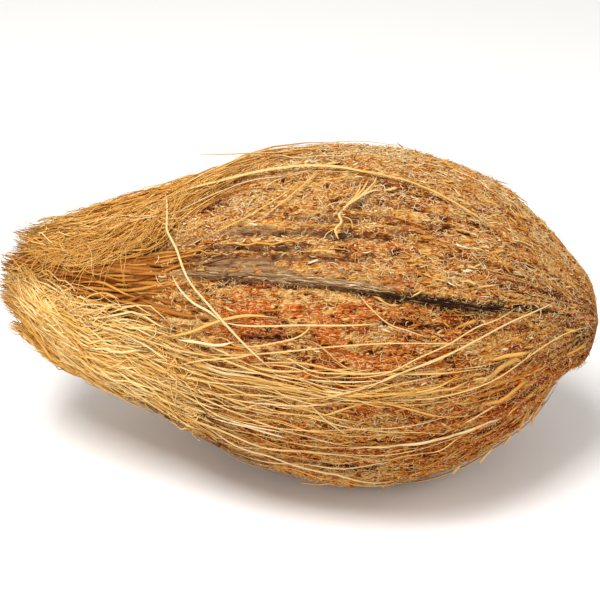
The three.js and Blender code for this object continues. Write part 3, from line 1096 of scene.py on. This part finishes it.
# Each strand: its width and height in millimetres, its tone, then the points that it passes, as
# share of the length, direction in degrees and clearance in millimetres.
MARKED_STRANDS = (
    (0.8, 0.55, 0.88, [
        (0.285, 96, 1), (0.305, 79, 3), (0.325, 58, 4.5), (0.35, 45, 3.5),
        (0.4, 29.5, 1.8), (0.46, 17, 0.8), (0.5, 10, 0.2),
    ]),
    (0.8, 0.4, 0.94, [
        (0.335, 42, 3), (0.352, 35.5, 2.4), (0.37, 31, 1.6), (0.395, 28, 0.8), (0.43, 22, 0.1),
    ]),
    (1.0, 0.4, 0.66, [
        (0.31, 14, 0.2), (0.36, 19, 0.9), (0.395, 23.5, 1.1),
        (0.42, 26, 0.9), (0.455, 28, 0.7), (0.5, 28, 0.1),
    ]),
    (0.6, 0.4, 0.86, [
        (0.41, 25, 0.8), (0.445, 24.5, 0.9), (0.485, 25, 0.7),
        (0.53, 26, 0.6), (0.61, 27, 0.6), (0.66, 28, 0.2),
    ]),
    (0.9, 0.35, 0.96, [(0.34, 15, 0.2), (0.375, 16, 0.9), (0.41, 16.5, 0.9), (0.435, 18.5, 0.1)]),
    (0.5, 0.4, 0.8, [
        (0.44, 18, 0.3), (0.465, 18, 0.9), (0.5, 20, 0.8),
        (0.53, 22, 0.7), (0.545, 24, 0.5), (0.555, 27, 0.1),
    ]),
    (0.6, 0.4, 0.78, [
        (0.34, 4, 0.3), (0.385, 9.5, 0.8), (0.42, 12, 0.8), (0.45, 14, 0.7), (0.48, 17, 0.1),
    ]),
    (1.0, 0.35, 0.86, [(0.28, 1, 0.3), (0.31, 1, 0.9), (0.33, -2, 0.8), (0.36, -6, 0.2)]),
    (0.9, 0.4, 0.97, [
        (0.385, -16, 0.3), (0.42, -14.5, 0.8), (0.455, -13.5, 0.8), (0.49, -14, 0.7), (0.52, -15, 0.2),
    ]),
    (0.6, 0.4, 0.84, [
        (0.92, 41, 0.2), (0.9, 37, 0.8), (0.85, 30, 0.9), (0.8, 23, 0.9),
        (0.745, 17, 0.8), (0.7, 13.5, 0.7), (0.65, 9, 0.6), (0.58, 5, 0.2),
    ]),
    (0.5, 0.4, 0.8, [
        (0.86, 36, 0.2), (0.83, 31, 0.8), (0.8, 28, 0.9), (0.76, 22, 0.8),
        (0.72, 18, 0.8), (0.66, 12, 0.5), (0.56, 10, 0.2),
    ]),
    (0.5, 0.4, 0.8, [
        (0.99, 25, 0.2), (0.95, 22, 0.6), (0.9, 15, 0.8), (0.84, 7, 0.8),
        (0.8, 5, 0.8), (0.74, 4, 0.6), (0.66, 4, 0.2),
    ]),
    (0.5, 0.4, 0.82, [
        (0.52, 15, 0.2), (0.56, 12, 0.7), (0.6, 12, 0.8), (0.65, 12.5, 0.7), (0.7, 14, 0.2),
    ]),
    (0.45, 0.4, 0.76, [(0.55, 2, 0.3), (0.575, -3, 0.8), (0.6, -7, 0.8), (0.62, -11, 0.2)]),
    (0.4, 0.4, 0.84, [
        (0.62, 37, 0.1), (0.64, 33, 1.2), (0.67, 28, 1.1), (0.7, 26, 0.9), (0.73, 24, 0.2),
    ]),
    (1.5, 0.45, 0.8, [
        (0.25, 93, 0.3), (0.3, 91, 0.8), (0.38, 87.5, 1.0), (0.455, 86.5, 1.1),
        (0.5, 86, 1.1), (0.55, 84, 1.0), (0.6, 81, 0.8), (0.65, 78.5, 0.3),
    ]),
    (0.8, 0.4, 0.66, [
        (0.56, 84, 0.3), (0.62, 80, 0.8), (0.69, 78, 0.7), (0.76, 74, 0.5), (0.82, 68, 0.1),
    ]),
    (0.5, 0.4, 0.62, [
        (0.35, 104, 8), (0.38, 102, 5.5), (0.42, 101, 2.6), (0.46, 99, 0.8), (0.5, 98, 0),
    ]),
    (0.8, 0.5, 0.78, [
        (0.636, 76, 0.2), (0.626, 73, 1.1), (0.61, 68.5, 1.7), (0.596, 66, 1.9), (0.585, 63, 2.0),
    ]),
    (0.7, 0.5, 0.7, [(0.622, 77, 0.2), (0.617, 73, 1.0), (0.607, 69, 1.5), (0.594, 66, 1.7)]),
    (0.7, 0.5, 0.84, [
        (0.642, 73, 0.3), (0.63, 72, 1.0), (0.612, 69, 1.5), (0.598, 66.5, 1.8), (0.588, 64, 1.8),
    ]),
    (0.6, 0.4, 0.68, [(0.61, 76, 0.3), (0.61, 72, 1.2), (0.602, 68, 1.8), (0.592, 66, 1.9)]),
    (0.5, 0.4, 0.76, [(0.634, 79, 0.2), (0.632, 75.5, 1.2), (0.622, 72, 1.5), (0.606, 68, 1.7)]),
    (0.9, 0.6, 0.78, [
        (0.587, 64, 1.8), (0.584, 62, 2.2), (0.588, 60, 1.8), (0.58, 57.5, 1.5), (0.586, 54, 1.0),
    ]),
    (0.35, 0.3, 0.8, [(0.6, 67, 1.5), (0.575, 66.5, 1.8), (0.56, 65, 1.4)]),
    (0.35, 0.3, 0.84, [(0.63, 74, 0.9), (0.645, 74, 1.6), (0.65, 71, 1.4)]),
    (0.3, 0.3, 0.8, [(0.585, 62, 1.8), (0.6, 61, 1.9), (0.606, 58, 1.2)]),
    (0.3, 0.3, 0.8, [(0.583, 58, 1.5), (0.568, 56, 1.6), (0.562, 53, 0.8)]),
    (0.6, 0.4, 0.66, [(0.46, 63, 0.1), (0.5, 70, 0.9), (0.53, 77, 1.0), (0.545, 83, 0.4)]),
    (0.5, 0.4, 0.66, [(0.37, 58, 0.1), (0.43, 63, 0.9), (0.48, 70, 0.9), (0.52, 78, 0.3)]),
    (1.8, 0.6, 0.66, [(0.58, -50, -0.4), (0.56, -52, 0.6), (0.54, -54, 1.2), (0.53, -56, 2)]),
    (3.0, 0.8, 0.4, [(0.63, -56, -0.4), (0.615, -58, 0.8), (0.605, -60, 2.2)]),
    (2.4, 0.7, 0.5, [(0.69, -56, -0.4), (0.675, -57, 0.6), (0.665, -58, 1.6)]),
    (2.4, 0.7, 0.8, [(0.84, -50, -0.4), (0.825, -55, 0.6), (0.816, -59, 1.7)]),
    (2.0, 0.7, 0.76, [(0.79, -52, -0.4), (0.78, -56, 0.6), (0.774, -60, 1.5)]),
    (1.8, 0.6, 0.7, [(0.87, -50, -0.4), (0.86, -55, 0.5), (0.854, -60, 1.4)]),
    (1.4, 0.6, 0.5, [(0.92, -30, -0.4), (0.9, -34, 0.6), (0.89, -40, 2.2)]),
    (1.2, 0.5, 0.45, [(0.89, -24, -0.3), (0.88, -30, 0.6), (0.87, -36, 2)]),
)


def marked_strand(width, height, tone, stops):
    """One strand: a smooth curve through its points, each at its clearance over the coat. The
    shares are stretched to percent first, so that they weigh as much as the degrees."""
    percent, angle, clear = curve_through(np.array(stops) * (100.0, 1.0, 1.0), MARKED_STEPS).T
    path, out = over_coat(percent[None] / 100.0, angle[None], clear[None] * MM)
    shape = spindle(np.linspace(0.0, 1.0, MARKED_STEPS), 0.3)[None] * MM
    return swept_fibres(path, out, width * shape, height * shape, 6, np.array([tone]))


def joined(parts):
    """Several sets of points, faces and texture places as one."""
    shift = np.cumsum([0] + [len(part[0]) for part in parts[:-1]])
    kinds = range(len(parts[0][1]))
    faces = [np.concatenate([part[1][k] + n for part, n in zip(parts, shift)]) for k in kinds]
    points = np.concatenate([part[0] for part in parts])
    return points, faces, np.concatenate([part[2] for part in parts])


new_piece("marked_strands", *joined([marked_strand(*row) for row in MARKED_STRANDS]), coir)

# ---------------------------------------------------------------------------------------------
# The tuft: uncut fibres left long over the nut's eyes. They leave the coat in flat locks, run on
# past the core and end ragged. The upper locks make a flap over a hollow, and the lower ones
# sweep up round the end.
TUFT_STEPS = 11
TUFT_TONES = [
    (0.0, 72, 30, 6),
    (0.2, 126, 60, 12),
    (0.4, 166, 102, 42),
    (0.62, 206, 146, 66),
    (0.82, 226, 176, 94),
    (1.0, 236, 204, 142),
]
# The lower edge of the upper flap, from the tuft's end on: shares of the length, and directions.
EDGE_SHARES = (0.0, 0.06, 0.1, 0.14, 0.19, 0.21, 0.265, 0.31, 0.35, 0.5)
EDGE_ANGLES = (66, 60, 58, 56, 57, 62, 69, 78, 84, 96)
OPEN_SHARE = 0.045
# Each group of locks: its piece's name, its seed, how many locks, the fibres in each, then the
# lowest and highest direction, share of the coat's radius, share of the length where a lock
# begins and where it ends, then its tone, how far it follows the flap's edge, and its sweep.
LOCK_GROUPS = (
    ("tuft_core", 600, 60, 20, (0, 360), (0.2, 0.9), (0.2, 0.42), (0.0, 0.08), 0.72, 0, 0),
    ("tuft_upper_flap", 601, 44, 44, (96, 210), (0.88, 1.03), (0.24, 0.5), (0.035, 0.15), 0.76, 1, 0),
    ("tuft_lower_flap", 602, 40, 40, (-28, 16), (0.9, 1.05), (0.18, 0.35), (0.018, 0.15), 0.9, 0, 26),
    ("tuft_end_sweep", 603, 14, 20, (-50, -6), (0.96, 1.04), (0.15, 0.24), (0.025, 0.07), 0.8, 0, 58),
    ("tuft_low_fringe", 605, 14, 22, (-104, -80), (0.98, 1.03), (0.24, 0.36), (0.03, 0.15), 0.74, 0, 0),
    ("tuft_under", 606, 16, 30, (-78, -34), (0.9, 1.03), (0.13, 0.2), (0.02, 0.12), 0.78, 0, 26),
    ("tuft_back", 604, 40, 40, (205, 290), (0.86, 1.02), (0.22, 0.5), (0.025, 0.15), 0.68, 0, 0),
)


def flap_edge(share):
    """The direction of the upper flap's lower edge at a share of the length."""
    return np.interp(share, EDGE_SHARES, EDGE_ANGLES)


def tuft_path(chance, share, angle, keep, stray):
    """Fibre paths through the tuft at a share `keep` of the coat's radius, which is held open
    near the end, and comes back to the coat where the nut begins. Returns the way outwards too."""
    open_share = np.maximum(share, OPEN_SHARE)
    drift = chance.wander(stray, 0.8) + chance.wander(0.3 * stray, 1.2)
    angle = angle + swing(drift, open_share, least=12 * MM)
    radius = girth_at(open_share)
    held = keep + (1.0 - keep) * smooth(0.16, 0.4, share)
    radius = (radius + coat_relief(open_share, angle, radius)) * held
    radius = radius + chance.wander(0.5 * stray, 1.0) - 0.3 * MM
    path = round_axis(share, angle, radius) + SEAT
    return path, unit(path - axis_at(share) - SEAT)


def tuft_locks(seed, locks, per_lock, angles, keeps, begins, tips, tone, edge, sweep):
    """Fibres in locks. A lock has one direction round the axis, one share of the coat's radius
    and one end; its fibres spread round these, and draw together towards the end. With `edge`
    the locks near the flap's edge follow it, and `sweep` turns the ends up round the tuft."""
    chance = Chance(seed, locks * per_lock, TUFT_STEPS)
    t = chance.t

    def for_lock(low, high, spread):
        lock = np.repeat(chance.dice.uniform(low, high, (locks, 1)), per_lock, axis=0)
        return lock + chance.near(0, spread)

    around = for_lock(*angles, 0.0)
    spread = chance.near(0, 5.5)
    keep = np.clip(for_lock(*keeps, 0.02), 0.1, 1.08)
    begin = np.clip(for_lock(*begins, 0.05), 0.12, 0.6)
    tip = np.clip(for_lock(*tips, 0.014), 0.018, 0.3)
    lock_tone = for_lock(-0.14, 0.14, 0.1)[:, 0]
    share = begin + (tip - begin) * t
    gather = 1 - 0.8 * smooth(0.35, 1.0, t)
    lean = for_lock(-8.0, 8.0, 3.0)
    angle = around + spread * gather + lean * t + sweep * smooth(0.2, 0.0, share)
    beside_edge = 1 - smooth(0.0, 80.0, around - angles[0])
    angle = angle + edge * beside_edge * (flap_edge(share) - flap_edge(0.5))
    path, out = tuft_path(chance, share, angle, keep, 1.9 * MM)
    thick = chance.skewed(6.0, 0.06) * MM * spindle(t, 0.3)
    # Locks that lie deeper inside the tuft are painted darker: painted shade inside it.
    shade = np.clip(tone + lock_tone - 0.9 * (1 - keep[:, 0]).clip(0, 1), 0, 1)
    return swept_fibres(path, out, thick * 1.4, thick, 3, shade)


tuft_coir = fibre_material("tuft_coir", TUFT_TONES)
for lock_name, *values in LOCK_GROUPS:
    new_piece(lock_name, *tuft_locks(*values), tuft_coir)

# ---------------------------------------------------------------------------------------------
# The frizz: curly fibres combed out of both flaps of the tuft, which lie over the locks at all
# angles to them.
FRIZZ_STEPS = 11
FRIZZ_COUNT = 420


def frizz(seed, upper):
    """Curls over the upper or the lower flap: the heading drifts along each, near the grain."""
    chance = Chance(seed, FRIZZ_COUNT, FRIZZ_STEPS)
    t = chance.t
    share = chance.even(0.06, 0.36)
    angle = chance.even(-34, 14) + 26.0 * smooth(0.2, 0.0, share)
    if upper:
        angle = flap_edge(share) + chance.even(2, 90)
    length = (chance.skewed(3.0, 2.6) + 4.0) * MM
    heading = chance.near(0, 0.45) + chance.near(0, 1.3) * (t - 0.5)
    heading = heading + chance.near(0, 0.5) * np.sin(7 * t + chance.even(0, 6))
    lift = chance.even(-0.4, 0.6) * MM + chance.wander(0.5 * MM, 0.8)
    path, out = beside_coat(share, angle, *curled(heading, length), lift)
    thick = chance.skewed(6.0, 0.055) * MM * spindle(t, 0.4)
    return swept_fibres(path, out, thick * 1.2, thick, 3, chance.tone(0.86, 0.1))


new_piece("frizz_upper", *frizz(630, upper=True), tuft_coir)
new_piece("frizz_lower", *frizz(631, upper=False), tuft_coir)

# ---------------------------------------------------------------------------------------------
# The hollow's floor: flat brown strips of bound fibre that run lengthwise under the upper flap,
# from the nut to the tuft's end. Their dark tone is partly their own brown and partly painted
# shade under the flap.
STRIP_STEPS = 14
STRIP_COUNT = 300


def hollow_strips():
    """Wide flat strips that lie well inside the coat's radius."""
    chance = Chance(610, STRIP_COUNT, STRIP_STEPS)
    t = chance.t
    share = chance.even(0.22, 0.4) * (1 - t) + chance.even(0.01, 0.09) * t
    angle = chance.even(14, 56) + chance.near(0, 4) * t
    keep = chance.even(0.72, 0.9)
    path, out = tuft_path(chance, share, angle, keep, 1.7 * MM)
    width = chance.even(0.5, 2.0) * MM * spindle(t, 0.2)
    height = chance.even(0.25, 0.45) * MM * spindle(t, 0.3)
    # The low tone is partly the fibres' own brown and partly painted shade under the flap.
    return swept_fibres(path, out, width, height, 4, chance.tone(0.4, 0.1))


new_piece("hollow_strips", *hollow_strips(), tuft_coir)

# ---------------------------------------------------------------------------------------------
# The wisps: the finest fibres of the tuft, held at one end in the upper flap's edge, which hang
# over the hollow.
WISP_STEPS = 16
WISP_COUNT = 90


def wisps():
    """Thin fibres that leave the flap's edge, bow out over the hollow and fall towards the
    tuft's end."""
    chance = Chance(620, WISP_COUNT, WISP_STEPS)
    t = chance.t
    begin = chance.even(0.1, 0.36)
    share = np.maximum(begin - chance.near(0.06, 0.05) * t, 0.03)
    angle = flap_edge(begin) + chance.even(0, 12) - chance.even(5, 50) * t**1.3
    lift = chance.even(0.5, 4.5) * MM * np.sin(np.pi * t) + chance.even(0, 2) * MM
    path, out = over_coat(share, angle, lift)
    thick = chance.even(0.15, 0.3) * MM * spindle(t, 0.4)
    tone = chance.tone(0.74, 0.12)
    path[..., 0] += chance.wander(1.2 * MM, 0.8)
    return swept_fibres(path, out, thick, thick, 3, tone)


new_piece("wisps", *wisps(), tuft_coir)
